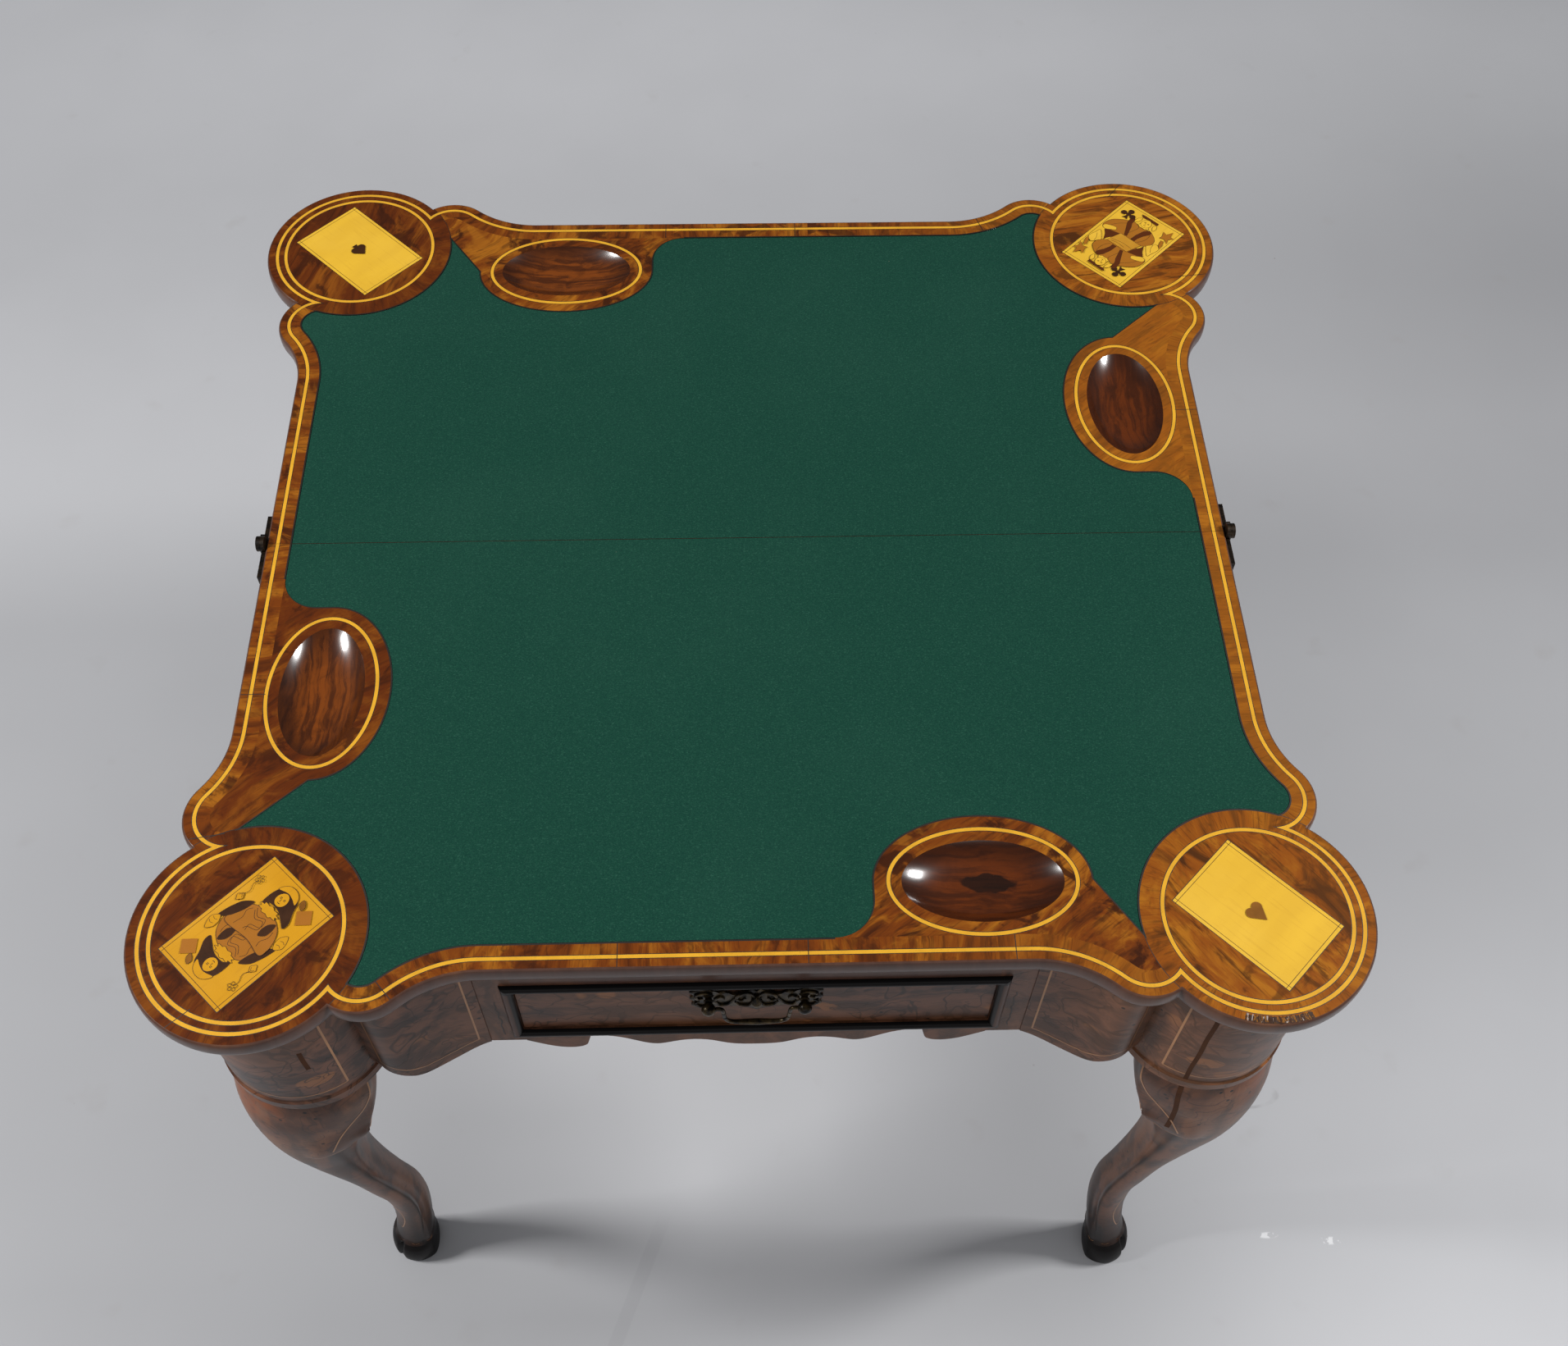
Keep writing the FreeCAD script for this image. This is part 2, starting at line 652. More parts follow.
# suit signs: side (+1 right), depth (+1 back), suit, then shares of the card's length and width
FRONT_SIGNS = [(-1, -1, "diamond", 0.343, -0.3), (-1, -1, "diamond", -0.343, 0.3),
               (1, -1, "heart", 0.0, 0.0)]
REAR_SIGNS = [(-1, 1, "spade", 0.0, 0.0), (1, 1, "club", 0.35, 0.3), (1, 1, "club", -0.35, -0.3)]

half_turn = FreeCAD.Placement(Vector(), FreeCAD.Rotation(Vector(0, 0, 1), 180))

leaf = leaf_shape()
stringing = Part.makeCompound([slab(face, 0, size("inlay_depth")) for face in stringing_faces()])
cloth = slab(cloth_face(size("baize_clearance")), size("baize_recess") - size("baize_thickness"),
             size("baize_thickness"))

# Leaf hinges: an ear of each half turns on one pin at either end of the joint
AXIS_HEIGHT = "top_height + hinge_axis_rise"
PLATE_TOP = "top_height - hinge_leaf_drop"
PLATE_BOTTOM = PLATE_TOP + " - hinge_leaf_height"
PLATE_BED = "leaf_half_length - hinge_let_in"
INNER_EAR = "leaf_half_length + hinge_ear_clearance"
OUTER_EAR = "leaf_half_length + hinge_plate + 2 * hinge_ear_clearance"
PLATE_FACE = INNER_EAR + " + hinge_plate"
HINGE_SCREW_SHARES = ["0.6", "0.85"]


def either(behind, near, far):
    """Pair of expressions along Y on the front leaf (behind -1) or on the rear leaf (behind 1)."""
    return (near, far) if behind > 0 else ("-(%s)" % far, "-(%s)" % near)


def hinge_half(name, behind, ear_start, bore_radius):
    """Right-hand hinge half: a plate let into the leaf's end, a crank and an ear on the pin."""
    plate = block(name + "_plate", (PLATE_BED, PLATE_FACE), either(behind, "1.2 * hinge_ear_radius",
                                                                    "hinge_leaf_length"),
                  (PLATE_BOTTOM, PLATE_TOP))
    ear = rod(name + "_ear", "hinge_ear_radius", "hinge_plate", ear_start, "0", AXIS_HEIGHT, "X")
    crank = block(name + "_crank", (ear_start, ear_start + " + hinge_plate"),
                  either(behind, "0", "2 * hinge_ear_radius"), (PLATE_BOTTOM, PLATE_TOP))
    foot = block(name + "_foot", (INNER_EAR, ear_start + " + hinge_plate"),
                 either(behind, "1.2 * hinge_ear_radius", "2 * hinge_ear_radius"), (PLATE_BOTTOM, PLATE_TOP))
    bore = rod(name + "_bore", bore_radius, "4 * hinge_plate", "leaf_half_length", "0", AXIS_HEIGHT, "X")
    holes = [hinge_screw_rod("%s_hole_%s" % (name, share[2:]), behind, share)
             for share in HINGE_SCREW_SHARES]
    return cut(name + "_bored", fuse(name + "_body", plate, ear, crank, foot), bore, *holes)


def hinge_screw_rod(name, behind, share):
    """Shank of a hinge screw, from inside the leaf's end to the plate's face."""
    along = ("" if behind > 0 else "-") + share + " * hinge_leaf_length"
    return rod(name, "hinge_screw_radius", "hinge_screw_length", PLATE_FACE + " - hinge_screw_length", along,
               PLATE_TOP + " - hinge_leaf_height / 2", "X")


def hinge_screws(name, behind):
    """Right-hand pair of hinge screws, each with its head on the plate."""
    screws = []
    for share in HINGE_SCREW_SHARES:
        tag = "%s_screw_%s" % (name, share[2:])
        shank = hinge_screw_rod(tag + "_shank", behind, share)
        along = ("" if behind > 0 else "-") + share + " * hinge_leaf_length"
        head = rod(tag + "_head", "hinge_screw_head_radius", "hinge_screw_head", PLATE_FACE, along,
                   PLATE_TOP + " - hinge_leaf_height / 2", "X")
        screws.append(fuse(tag, shank, head))
    return screws


UNDER_TOP = "top_height - leaf_thickness"
INNER_SIDE = "leaf_half_length - overhang - apron_thickness"
RETURN_FACE = "-(gate_set_in + 2 * rear_drum_radius + rear_corner_clearance)"
RETURN_FRONT = RETURN_FACE + " - back_rail_thickness"
SIDE_BLOCK_BACK = RETURN_FRONT + " - fixing_block_gap"
SIDE_BLOCK_FRONT = SIDE_BLOCK_BACK + " - fixing_block_length"
SIDE_SCREW_BACK = SIDE_BLOCK_BACK + " - fixing_block_length / 2"


def top_screw_rod(name, side):
    """Shank of a screw that holds the front leaf down through a side fixing block."""
    across = INNER_SIDE + " - fixing_block / 2"
    return rod(name, "top_screw_radius", "top_screw_length", across if side > 0 else "-(%s)" % across,
               SIDE_SCREW_BACK, UNDER_TOP + " - fixing_block")


for name, behind, placement, signs in (("front", -1, None, FRONT_SIGNS), ("rear", 1, half_turn, REAR_SIGNS)):
    pips = Part.makeCompound(pip_solids(signs))
    panels = Part.makeCompound([slab(face, 0, size("inlay_depth")) for face in card_faces()])
    if placement:
        panels.Placement = placement
    board = shaped(name + "_board", leaf, placement)
    holes = []
    for share in HINGE_SCREW_SHARES:
        hole = hinge_screw_rod("%s_board_hole_%s" % (name, share[2:]), behind, share)
        holes += [hole, mirrored("%s_board_hole_left_%s" % (name, share[2:]), hole)]
    if behind < 0:
        holes += [top_screw_rod("board_hole_%s" % word, side) for side, word in ((-1, "left"), (1, "right"))]
    keep(cut(name + "_board_drilled", board, *holes), name + "_leaf")
    keep(shaped(name + "_lines", stringing, placement), name + "_leaf_stringing")
    keep(shaped(name + "_cards", panels.cut(pips)), name + "_card_panels")
    keep(shaped(name + "_pips", pips), name + "_card_pips")
    keep(shaped(name + "_cloth", cloth, placement), name + "_baize")
    ear_start, bore_radius = ((INNER_EAR, "hinge_pin_radius") if behind < 0
                              else (OUTER_EAR, "hinge_pin_radius + hinge_bore_clearance"))
    half = hinge_half(name + "_hinge_right", behind, ear_start, bore_radius)
    keep(group(name + "_hinge_pair", half, mirrored(name + "_hinge_left", half)), name + "_hinge_plates")
    screws = hinge_screws(name + "_hinge", behind)
    screws += [mirrored(screw.Name + "_left", screw) for screw in screws]
    keep(group(name + "_hinge_screw_set", *screws), name + "_hinge_screws")

right = rod("leaf_pin_right", "hinge_pin_radius", "2 * hinge_plate + hinge_ear_clearance", INNER_EAR, "0",
            AXIS_HEIGHT, "X")
keep(group("leaf_pins", right, mirrored("leaf_pin_left", right)), "leaf_hinge_pins")


# Frieze: the front frame round the drawer, brackets that curve out to the drums, side aprons
FRONT_FACE = "-(leaf_half_depth - overhang)"
FRONT_BACK = "-(leaf_half_depth - overhang - apron_thickness)"
OPENING_TOP = "top_height - opening_top_drop"
OPENING_BOTTOM = "top_height - opening_bottom_drop"
STILE_BOTTOM = "top_height - stile_bottom_drop"

keep(block("top_rail", ("-opening_half_width", "opening_half_width"), (FRONT_FACE, FRONT_BACK),
           (OPENING_TOP, UNDER_TOP)), "front_top_rail")
for side, word in ((-1, "left"), (1, "right")):
    keep(block(word + "_stile", sided(side, "opening_half_width", "opening_half_width + stile_width"),
               (FRONT_FACE, FRONT_BACK), (STILE_BOTTOM, UNDER_TOP)), word + "_front_stile")


def curve(points):
    """Smooth edge through points."""
    spline = Part.BSplineCurve()
    spline.interpolate(points)
    return spline.toShape()


def bottom_rail_shape():
    """Rail under the drawer with its scalloped bottom edge."""
    top = size("top_height") - size("opening_bottom_drop")
    front = -(size("leaf_half_depth") - size("overhang"))
    half, depth = size("opening_half_width"), size("bottom_rail_depth")

    def place(shares, side):
        return Vector(side * shares[0] * half, front, top - shares[1] * depth)

    middle = [place(shares, -1) for shares in reversed(SCALLOP_SHARES[1:])]
    middle += [place(shares, 1) for shares in SCALLOP_SHARES]
    edges = [curve(middle)]
    for side in (-1, 1):
        hook = [place(shares, side) for shares in HOOK_SHARES]
        corner = Vector(side * half, front, top)
        edges.append(curve(hook))
        edges.append(Part.LineSegment(place(SCALLOP_SHARES[-1], side), hook[0]).toShape())
        edges.append(Part.LineSegment(hook[-1], corner).toShape())
    edges.append(Part.LineSegment(Vector(-half, front, top), Vector(half, front, top)).toShape())
    face = Part.Face(Part.Wire(Part.__sortEdges__(edges)))
    return face.extrude(Vector(0, size("apron_thickness"), 0))


keep(shaped("bottom_rail", bottom_rail_shape()), "front_bottom_rail")


def surround_shape():
    """Four mitred half-round strips round the drawer, planted on the frame's face."""
    half, width = size("opening_half_width"), size("surround_width")
    top = size("top_height") - size("opening_top_drop")
    bottom = size("top_height") - size("opening_bottom_drop")
    front = -(size("leaf_half_depth") - size("overhang"))
    rise = size("surround_rise")

    def strip(length, inner_z, outwards):
        """Strip along X whose inner arris is at inner_z, with both ends cut at 45 degrees."""
        start = Vector(-length / 2 - width, front, inner_z)
        end = start + Vector(0, 0, outwards * width)
        crest = (start + end) * 0.5 + Vector(0, -rise, 0)
        section = Part.Face(Part.Wire([Part.Arc(start, crest, end).toShape(),
                                       Part.LineSegment(end, start).toShape()]))
        bar = section.extrude(Vector(length + 2 * width, 0, 0))
        corners = [(-length / 2, 0), (length / 2, 0), (length / 2 + width, width),
                   (-length / 2 - width, width)]
        frame = [Vector(x, front - 2 * rise, inner_z + outwards * z) for x, z in corners]
        wedge = Part.Face(Part.makePolygon(frame + frame[:1])).extrude(Vector(0, 4 * rise, 0))
        return bar.common(wedge)

    strips = [strip(2 * half, top, 1), strip(2 * half, bottom, -1)]
    middle = (top + bottom) / 2
    for side in (-1, 1):
        upright = strip(top - bottom, 0, 1)
        upright.rotate(Vector(), Vector(0, 1, 0), side * 90)
        upright.translate(Vector(side * half, 0, middle))
        strips.append(upright)
    return Part.makeCompound(strips)


keep(shaped("surround", surround_shape()), "drawer_surround")


def drum_centre():
    """Axis of the right front drum."""
    return Vector(size("drum_across"), -size("drum_back"), 0)


def drum_outside(centre):
    """Space that a front drum takes, from the floor to the top, without its socket."""
    radius, rise, rim = size("drum_radius"), size("drum_rim_rise"), size("drum_rim_height")
    foot = size("top_height") - size("drum_bottom_drop")
    shaft = Part.makeCylinder(radius - rise, size("top_height"), centre)
    rim_block = Part.makeCylinder(radius, foot + rim, centre)
    bevel = Part.makeCone(radius, radius - rise, rise, centre + Vector(0, 0, foot + rim))
    return shaft.fuse([rim_block, bevel])


def lobe_end(lobe, radius):
    """Point on a lobe's circle that looks out past the drum."""
    return lobe + Vector(1, -1, 0).normalize() * radius


def bracket_outline(start, end, toward):
    """Closed face in elevation: the board from under the leaf down to the shaped bottom edge.

    start and end are plan distances along the direction toward; the shares run between them.
    """
    top = size("top_height") - size("leaf_thickness")
    points = [toward * (start + (end - start) * along) + Vector(0, 0, size("top_height")
              - size("stile_bottom_drop") * drop) for along, drop in BRACKET_SHARES]
    corners = [points[-1], toward * end + Vector(0, 0, top), toward * start + Vector(0, 0, top), points[0]]
    edges = [curve(points)] + [Part.LineSegment(a, b).toShape() for a, b in zip(corners, corners[1:])]
    return Part.Face(Part.Wire(Part.__sortEdges__(edges)))


def front_bracket_shape():
    """Right bracket of the front: its face follows the leaf's ogee and runs into the drum."""
    centre = drum_centre()
    front_hollow, front_lobe, side_hollow, side_lobe = ogee_centres()
    start_x = size("opening_half_width") + size("stile_width")
    back = -(size("leaf_half_depth") - size("overhang") - size("apron_thickness"))
    inset = size("overhang")
    end = lobe_end(front_lobe, size("front_lobe_radius") - inset)
    edges = front_ogee(inset, 0, end)
    corners = [end, Vector(centre.x, back, 0), Vector(0, back, 0),
               Vector(0, -size("leaf_half_depth") + inset, 0)]
    edges += [Part.LineSegment(a, b).toShape() for a, b in zip(corners, corners[1:])]
    plan = Part.Face(Part.Wire(Part.__sortEdges__(edges))).extrude(Vector(0, 0, size("top_height")))
    elevation = bracket_outline(start_x, centre.x, Vector(1, 0, 0))
    elevation = elevation.extrude(Vector(0, -size("leaf_half_depth") - size("disc_radius"), 0))
    return plan.common(elevation).cut(drum_outside(centre)).removeSplitter()


def side_bracket_shape():
    """Right side apron: straight towards the back, then the same ogee out to the drum."""
    centre = drum_centre()
    front_hollow, front_lobe, side_hollow, side_lobe = ogee_centres()
    inset = size("overhang")
    inner = size("leaf_half_length") - inset - size("apron_thickness")
    rear = -(size("gate_set_in") + 2 * size("rear_drum_radius") + size("rear_corner_clearance"))
    start = lobe_end(side_lobe, size("side_lobe_radius") - inset)
    edges = side_ogee(inset, start, rear)
    corners = [Vector(size("leaf_half_length") - inset, rear, 0), Vector(inner, rear, 0),
               Vector(inner, centre.y, 0), start]
    edges += [Part.LineSegment(a, b).toShape() for a, b in zip(corners, corners[1:])]
    plan = Part.Face(Part.Wire(Part.__sortEdges__(edges))).extrude(Vector(0, 0, size("top_height")))
    outer = size("leaf_half_length") + size("disc_radius")
    elevation = bracket_outline(size("side_straight"), -centre.y, Vector(0, -1, 0))
    elevation = elevation.extrude(Vector(outer, 0, 0))
    straight = Part.makeBox(outer, size("side_straight") + rear, size("side_apron_depth"))
    straight.translate(Vector(0, -size("side_straight"),
                              size("top_height") - size("leaf_thickness") - size("side_apron_depth")))
    return plan.common(elevation.fuse(straight)).cut(drum_outside(centre)).removeSplitter()


bracket = shaped("bracket_right", front_bracket_shape())
keep(bracket, "right_front_bracket")
keep(mirrored("bracket_left", bracket), "left_front_bracket")
apron = shaped("apron_right", side_bracket_shape())
keep(apron, "right_side_apron")
keep(mirrored("apron_left", apron), "left_side_apron")


# Drums: turned blocks with a plain rim at the foot and a socket for the leg's tenon
def drum(name, radius, height):
    """Turned block on its own axis, standing on z = 0."""
    return turned(name, [("tenon_radius", "0"), (radius, "0"), (radius, "drum_rim_height"),
                         (radius + " - drum_rim_rise", "drum_rim_height + drum_rim_rise"),
                         (radius + " - drum_rim_rise", height), ("0", height), ("0", "tenon_length"),
                         ("tenon_radius", "tenon_length")])


DRUM_FOOT = "top_height - drum_bottom_drop"
for side, word in ((-1, "left"), (1, "right")):
    across = "drum_across" if side > 0 else "-drum_across"
    body = drum(word + "_front_block", "drum_radius", "drum_bottom_drop - leaf_thickness")
    keep(stand(body, across, "-drum_back", DRUM_FOOT), word + "_front_drum")


# Legs
def leg_shape(knee_spread):
    """Cabriole leg on a cloven hoof, outwards along +X, its drum's axis on Z and its hoof on z = 0."""
    height = size("top_height") - size("drum_bottom_drop")
    foot_spread = size("leg_spread")
    sections = []
    for rise, out, half_width, swell, depth in LEG_SHARES:
        z = rise * height
        toward_knee = max(0.0, (rise - KNEE_START_SHARE) / (1 - KNEE_START_SHARE))
        spread = foot_spread + (knee_spread - foot_spread) * toward_knee ** 2 * (3 - 2 * toward_knee)
        middle, half_width, swell, depth = (share * spread for share in (out, half_width, swell, depth))
        blunt = LEG_BACK_BLUNT_SHARE * half_width
        angles = [math.pi / 2 - math.pi * step / (LEG_FRONT_POINTS - 1) for step in range(LEG_FRONT_POINTS)]
        front = [Vector(middle + swell * math.cos(angle), half_width * math.sin(angle), z)
                 for angle in angles]
        back = [front[-1], Vector(middle - depth, -blunt, z), Vector(middle - depth, blunt, z), front[0]]
        edges = [curve(front)] + [Part.LineSegment(a, b).toShape() for a, b in zip(back, back[1:])]
        sections.append(Part.Wire(edges))
    leg = Part.makeLoft(sections, True, False)
    tenon = Part.makeCylinder(size("tenon_radius"), size("tenon_length"), Vector(0, 0, height))
    hoof_front = (LEG_SHARES[0][1] + LEG_SHARES[0][3]) * foot_spread
    wide, deep = size("cleft_width"), size("cleft_depth")
    mouth = Vector(hoof_front + deep, 0, 0)
    corners = [mouth + Vector(0, wide, 0), Vector(hoof_front - deep, 0, 0), mouth - Vector(0, wide, 0)]
    cleft = Part.Face(Part.makePolygon(corners + corners[:1])).extrude(Vector(0, 0, size("cleft_height")))
    return leg.fuse(tenon).cut(cleft)


front_leg = leg_shape(size("leg_spread"))
for side, word in ((-1, "left"), (1, "right")):
    turn = FreeCAD.Rotation(Vector(0, 0, 1), -45 if side > 0 else -135)
    foot = Vector(side * size("drum_across"), -size("drum_back"), 0)
    keep(shaped(word + "_leg_front", front_leg, FreeCAD.Placement(foot, turn)), word + "_front_leg")


# Fixed back: inner rail, returns round the rear corners and the block that carries the gate pins
BLOCK_FACE = "-(gate_set_in + gate_thickness + gate_clearance)"
RAIL_FACE = "-(gate_set_in + gate_thickness + gate_clearance + back_rail_thickness)"
BACK_BOTTOM = UNDER_TOP + " - back_rail_height"
RETURN_INNER = "back_rail_half_length - back_rail_thickness"

keep(block("back_board", ("-back_rail_half_length", "back_rail_half_length"), (RAIL_FACE, BLOCK_FACE),
           (BACK_BOTTOM, UNDER_TOP)), "back_rail")
for side, word in ((-1, "left"), (1, "right")):
    post = block(word + "_return_post", sided(side, RETURN_INNER, "back_rail_half_length"),
                 (RETURN_FRONT, RAIL_FACE), (BACK_BOTTOM, UNDER_TOP))
    wing = block(word + "_return_wing", sided(side, "back_rail_half_length", INNER_SIDE),
                 (RETURN_FRONT, RETURN_FACE), (BACK_BOTTOM, UNDER_TOP))
    keep(fuse(word + "_return", post, wing), word + "_rear_corner_return")

GATE_MIDDLE = "-(gate_set_in + gate_thickness / 2)"
GATE_TOP = UNDER_TOP + " - gate_clearance"
GATE_BOTTOM = GATE_TOP + " - gate_height"
FINGER = "(gate_height / 5)"
KNUCKLE_RADIUS = "gate_thickness / 2"
STANDOFF = "gate_thickness / 2 + gate_clearance"


def finger_levels(level):
    """Bottom and top expressions of one of the five fingers of a knuckle, with its running gap."""
    low = "%s + %d * %s + finger_gap / 2" % (GATE_BOTTOM, level, FINGER)
    high = "%s + %d * %s - finger_gap / 2" % (GATE_BOTTOM, level + 1, FINGER)
    return low, high


def knuckle_finger(name, level, inner, outer):
    """One finger about the right gate's pin: a round end and the web to its rail."""
    low, high = finger_levels(level)
    round_end = rod(name + "_round", KNUCKLE_RADIUS, "(%s) - (%s)" % (high, low), "gate_axis_across",
                    GATE_MIDDLE, low)
    web = block(name + "_web", (inner, outer), ("-(gate_set_in + gate_thickness)", "-gate_set_in"),
                (low, high))
    return [round_end, web]


def gate_bore(name, radius):
    """Bore along the right gate's pin."""
    return rod(name, radius, "gate_height + 2 * overrun", "gate_axis_across", GATE_MIDDLE,
               GATE_BOTTOM + " - overrun")


FIXED_END = "gate_axis_across - (%s)" % STANDOFF
GATE_END = "gate_axis_across + %s" % STANDOFF
parts = [block("knuckle_core", ("-(%s)" % FIXED_END, FIXED_END), (BLOCK_FACE, "-gate_set_in"),
               (GATE_BOTTOM, UNDER_TOP))]
for level in (0, 2, 4):
    fixed = fuse("fixed_finger_%d" % level, *knuckle_finger("fixed_%d" % level, level, FIXED_END,
                                                            "gate_axis_across"))
    parts += [fixed, mirrored("fixed_finger_left_%d" % level, fixed)]
bore = gate_bore("fixed_bore", "gate_pin_radius")
keep(cut("knuckle_block", fuse("knuckle_block_body", *parts), bore, mirrored("fixed_bore_left", bore)),
     "gate_hinge_block")

pin = rod("pin_right", "gate_pin_radius", "gate_height", "gate_axis_across", GATE_MIDDLE, GATE_BOTTOM)
keep(pin, "right_gate_pin")
keep(mirrored("pin_left", pin), "left_gate_pin")


# Gates: built shut along the back, then swung open about their pins
def swung(side):
    """Placement that opens one gate."""
    pin_back = size("gate_set_in") + size("gate_thickness") / 2
    pin_place = Vector(side * size("gate_axis_across"), -pin_back, 0)
    turn = FreeCAD.Rotation(Vector(0, 0, 1), side * GATE_SWING_DEGREES)
    return FreeCAD.Placement(Vector(), turn, pin_place)


REAR_DRUM_ACROSS = "gate_axis_across + gate_reach"
REAR_DRUM_BACK = "-(gate_set_in + rear_drum_radius)"
rail_parts = [block("gate_bar", (GATE_END, REAR_DRUM_ACROSS), ("-(gate_set_in + gate_thickness)",
                                                                "-gate_set_in"), (GATE_BOTTOM, GATE_TOP))]
for level in (1, 3):
    rail_parts += knuckle_finger("gate_%d" % level, level, "gate_axis_across", GATE_END)
drum_hole = rod("gate_drum_hole", "rear_drum_radius", "top_height", REAR_DRUM_ACROSS, REAR_DRUM_BACK, "0")
rail = cut("gate_rail_right", fuse("gate_rail_body", *rail_parts),
           gate_bore("gate_rail_bore", "gate_pin_radius + gate_pin_clearance"), drum_hole)
rail.Placement = swung(1)
keep(rail, "right_gate_rail")
keep(mirrored("gate_rail_left", rail), "left_gate_rail")

rear_leg = leg_shape(size("leg_spread") * size("rear_drum_radius") / size("drum_radius") * REAR_KNEE_SHARE)
rear_axis = Vector(size("gate_axis_across") + size("gate_reach"),
                   -(size("gate_set_in") + size("rear_drum_radius")), 0)
for side, word in ((-1, "left"), (1, "right")):
    closed = FreeCAD.Placement(Vector(side * rear_axis.x, rear_axis.y, 0),
                               FreeCAD.Rotation(Vector(0, 0, 1), 45 if side > 0 else 135))
    opened = swung(side) * closed
    body = drum(word + "_rear_block", "rear_drum_radius + drum_rim_rise",
                "drum_bottom_drop - leaf_thickness - gate_clearance")
    foot = opened.Base + Vector(0, 0, size("top_height") - size("drum_bottom_drop"))
    body.Placement = FreeCAD.Placement(foot, opened.Rotation)
    keep(body, word + "_rear_drum")
    keep(shaped(word + "_leg_rear", rear_leg, opened), word + "_rear_leg")


# Drawer
SIDE_OUTER = "opening_half_width - drawer_clearance"
SIDE_INNER = SIDE_OUTER + " - drawer_side_thickness"
DRAWER_FACE = FRONT_FACE + " + drawer_set_back"
DRAWER_INSIDE = DRAWER_FACE + " + drawer_front_thickness"
DRAWER_END = DRAWER_INSIDE + " + drawer_length"
SIDE_FOOT = OPENING_BOTTOM + " + runner_gap"
SIDE_TOP = SIDE_FOOT + " + drawer_side_height"
BOARD_LOW = SIDE_FOOT + " + drawer_bottom_rise"
BOARD_HIGH = BOARD_LOW + " + drawer_bottom_thickness"

face_board = block("drawer_board", ("-(%s)" % SIDE_OUTER, SIDE_OUTER), (DRAWER_FACE, DRAWER_INSIDE),
                   (OPENING_BOTTOM + " + drawer_clearance", OPENING_TOP + " - drawer_clearance"))
POST_HEIGHT = "top_height - post_drop"
post_holes = [rod("post_hole_%d" % index, "post_radius", "drawer_front_thickness + 2 * overrun", place,
                  DRAWER_FACE + " - overrun", POST_HEIGHT, "Y")
              for index, place in enumerate(("-post_half_spacing", "post_half_spacing"))]
keep(cut("drawer_board_drilled", face_board, *post_holes), "drawer_front")

for side, word in ((-1, "left"), (1, "right")):
    board = block(word + "_drawer_board", sided(side, SIDE_INNER, SIDE_OUTER), (DRAWER_INSIDE, DRAWER_END),
                  (SIDE_FOOT, SIDE_TOP))
    groove = block(word + "_groove", sided(side, SIDE_INNER + " - overrun", SIDE_INNER + " + drawer_groove"),
                   (DRAWER_INSIDE + " - overrun", DRAWER_END + " + overrun"), (BOARD_LOW, BOARD_HIGH))
    keep(cut(word + "_drawer_side_board", board, groove), word + "_drawer_side")

keep(block("drawer_back_board", ("-(%s)" % SIDE_INNER, SIDE_INNER),
           (DRAWER_END + " - drawer_back_thickness", DRAWER_END),
           (BOARD_HIGH, SIDE_TOP + " - drawer_groove")), "drawer_back")
BOTTOM_HALF = SIDE_INNER + " + drawer_groove"
keep(block("drawer_bottom_board", ("-(%s)" % BOTTOM_HALF, BOTTOM_HALF), (DRAWER_INSIDE, DRAWER_END),
           (BOARD_LOW, BOARD_HIGH)), "drawer_bottom")

KICK_START = DRAWER_INSIDE + " + drawer_clearance"
KICK_TOP = SIDE_TOP + " + drawer_clearance + kicker_height"
for side, word in ((-1, "left"), (1, "right")):
    bed = block(word + "_runner_bed", sided(side, "opening_half_width + guide_height - runner_width",
                                            "opening_half_width + guide_height"),
                (FRONT_BACK, RAIL_FACE), (OPENING_BOTTOM + " - runner_height", OPENING_BOTTOM))
    guide = block(word + "_guide", sided(side, "opening_half_width",
                                         "opening_half_width + guide_height / 2"),
                  (FRONT_BACK, RAIL_FACE), (OPENING_BOTTOM, OPENING_BOTTOM + " + guide_height"))
    keep(fuse(word + "_runner", bed, guide), word + "_drawer_runner")
    width = sided(side, "opening_half_width - kicker_width", "opening_half_width")
    rail = block(word + "_kick_rail", width, (KICK_START, RAIL_FACE),
                 (SIDE_TOP + " + drawer_clearance", KICK_TOP))
    nose = block(word + "_kick_nose", width, (FRONT_BACK, KICK_START), (OPENING_TOP, KICK_TOP))
    keep(fuse(word + "_kick", rail, nose), word + "_drawer_kicker")


# Drop handle
def plate_shape():
    """Pierced backplate against the drawer front."""
    front = -(size("leaf_half_depth") - size("overhang")) + size("drawer_set_back")
    height = size("top_height") - size("plate_drop")
    half, tall = size("plate_half_length"), size("plate_half_height")
    right = [Vector(x * half, front, height + z * tall) for x, z in PLATE_SHARES]
    left = [Vector(-point.x, front, point.z) for point in reversed(right[1:-1])]
    spline = Part.BSplineCurve()
    spline.interpolate(right + left, PeriodicFlag=True)
    plate = Part.Face(Part.Wire(spline.toShape())).extrude(Vector(0, -size("plate_thickness"), 0))
    for side in (-1, 1):
        hole = Part.makeCylinder(size("post_radius"), 2 * size("overrun"),
                                 Vector(side * size("post_half_spacing"), front - size("overrun"),
                                        size("top_height") - size("post_drop")), Vector(0, 1, 0))
        plate = plate.cut(hole)
    return plate


keep(shaped("backplate", plate_shape()), "handle_backplate")

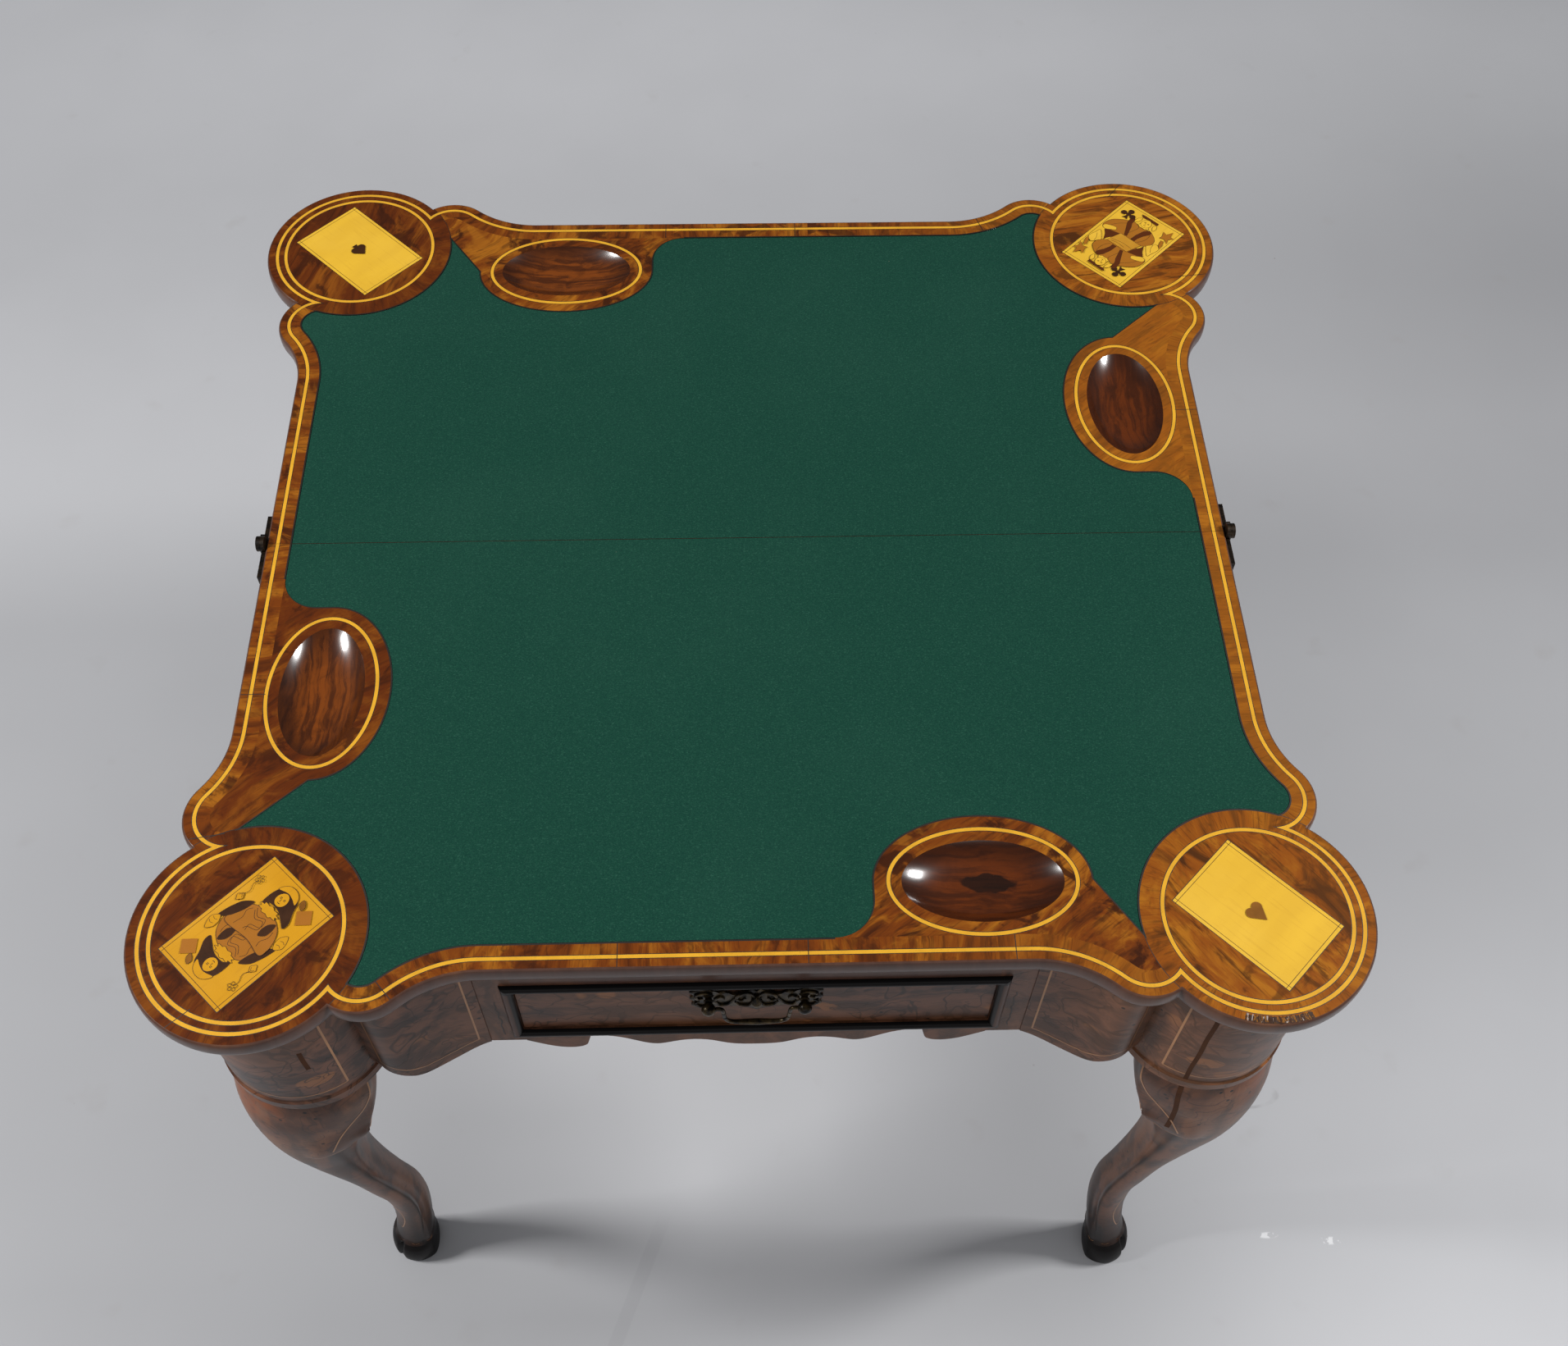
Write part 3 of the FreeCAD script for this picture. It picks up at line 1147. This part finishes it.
BALL_BACK = DRAWER_FACE + " - post_reach"
stem = rod("post_stem", "post_radius", "post_reach + drawer_front_thickness + nut_thickness",
           "post_half_spacing", BALL_BACK, POST_HEIGHT, "Y")
head = ball("post_head", "post_ball_radius", "post_half_spacing", BALL_BACK, POST_HEIGHT)
socket = rod("post_socket", "bail_pin_radius + bail_pin_clearance", "post_ball_radius",
             "post_half_spacing - post_ball_radius", BALL_BACK, POST_HEIGHT, "X")
post = cut("post_right", fuse("post_body", stem, head), socket)
keep(group("posts", post, mirrored("post_left", post)), "handle_posts")

nut_body = rod("nut_body", "nut_radius", "nut_thickness", "post_half_spacing", DRAWER_INSIDE,
               POST_HEIGHT, "Y")
nut_hole = rod("nut_hole", "post_radius", "nut_thickness + overrun", "post_half_spacing",
               DRAWER_INSIDE + " - overrun / 2", POST_HEIGHT, "Y")
nut = cut("nut_right", nut_body, nut_hole)
keep(group("nuts", nut, mirrored("nut_left", nut)), "handle_nuts")


def bail_shape():
    """Bail that hangs between the two posts: one bent wire with a thinner pin at each end."""
    axis_y = -(size("leaf_half_depth") - size("overhang")) + size("drawer_set_back") - size("post_reach")
    axis_z = size("top_height") - size("post_drop")
    wire_radius = size("bail_wire_radius")
    inner_ball = size("post_half_spacing") - size("post_ball_radius")
    shoulder, foot, bend = size("bail_shoulder"), size("bail_foot"), size("bail_bend")
    low = axis_z - size("bail_drop") + wire_radius
    neck = Vector(inner_ball, axis_y, axis_z)
    corners = [neck, Vector(shoulder, axis_y, axis_z), Vector(foot + bend / 2, axis_y, low),
               Vector(-foot - bend / 2, axis_y, low), Vector(-shoulder, axis_y, axis_z),
               Vector(-inner_ball, axis_y, axis_z)]
    edges = []
    start = corners[0]
    for before, corner, after in zip(corners, corners[1:], corners[2:]):
        inwards, outwards = (before - corner).normalize(), (after - corner).normalize()
        half = inwards.getAngle(outwards) / 2
        room = min((before - corner).Length, (after - corner).Length) * 0.45
        radius = min(bend, room * math.tan(half))
        reach = radius / math.tan(half)
        arc_start, arc_end = corner + inwards * reach, corner + outwards * reach
        bisector = (inwards + outwards).normalize()
        middle = corner + bisector * (radius / math.sin(half) - radius)
        edges.append(Part.LineSegment(start, arc_start).toShape())
        edges.append(Part.Arc(arc_start, middle, arc_end).toShape())
        start = arc_end
    edges.append(Part.LineSegment(start, corners[-1]).toShape())
    section = Part.Wire(Part.Circle(neck, Vector(1, 0, 0), wire_radius).toShape())
    wire = Part.Wire(edges).makePipeShell([section], True, False)
    pin_length = wire_radius + size("bail_pin_depth")
    for side in (-1, 1):
        pin_start = Vector(side * (inner_ball - wire_radius), axis_y, axis_z)
        pin = Part.makeCylinder(size("bail_pin_radius"), pin_length, pin_start, Vector(side, 0, 0))
        wire = wire.fuse(pin)
    return wire


keep(shaped("bail", bail_shape()), "handle_bail")


# Fixings between frame and top
def fixing_block(name, x, y):
    """Glue block under the leaf."""
    return block(name, x, y, (UNDER_TOP + " - fixing_block", UNDER_TOP))


HALF_BLOCK = "fixing_block_length / 2"
blocks = []
screws = []
for side, word in ((-1, "left"), (1, "right")):
    side_block = fixing_block(word + "_side_block", sided(side, INNER_SIDE + " - fixing_block", INNER_SIDE),
                              (SIDE_BLOCK_FRONT, SIDE_BLOCK_BACK))
    blocks.append(cut(word + "_side_block_drilled", side_block, top_screw_rod(word + "_block_hole", side)))
    inner_x = sided(side, "opening_half_width / 2 - " + HALF_BLOCK, "opening_half_width / 2 + " + HALF_BLOCK)
    blocks.append(fixing_block(word + "_front_block", inner_x, (FRONT_BACK, FRONT_BACK + " + fixing_block")))
    blocks.append(fixing_block(word + "_back_block", inner_x, (RAIL_FACE + " - fixing_block", RAIL_FACE)))
    across = INNER_SIDE + " - fixing_block / 2"
    head = rod(word + "_top_screw_head", "top_screw_head_radius", "top_screw_head",
               across if side > 0 else "-(%s)" % across, SIDE_SCREW_BACK,
               UNDER_TOP + " - fixing_block - top_screw_head")
    screws.append(fuse(word + "_top_screw", top_screw_rod(word + "_top_screw_shank", side), head))
keep(group("glue_blocks", *blocks), "top_fixing_blocks")
keep(group("screw_pair", *screws), "top_screws")

doc.recompute()

for item in doc.Objects:
    if "Invalid" in item.State or "Error" in item.State:
        raise RuntimeError("%s failed: %s" % (item.Name, item.State))
for node in nodes:
    if node.Shape.isNull() or not node.Shape.isValid():
        raise RuntimeError("%s has no valid shape" % node.Label)

os.makedirs("parts", exist_ok=True)
for node in nodes:
    node.Shape.exportStep("parts/%s.step" % node.Label)
print("wrote %d sub-parts" % len(nodes))
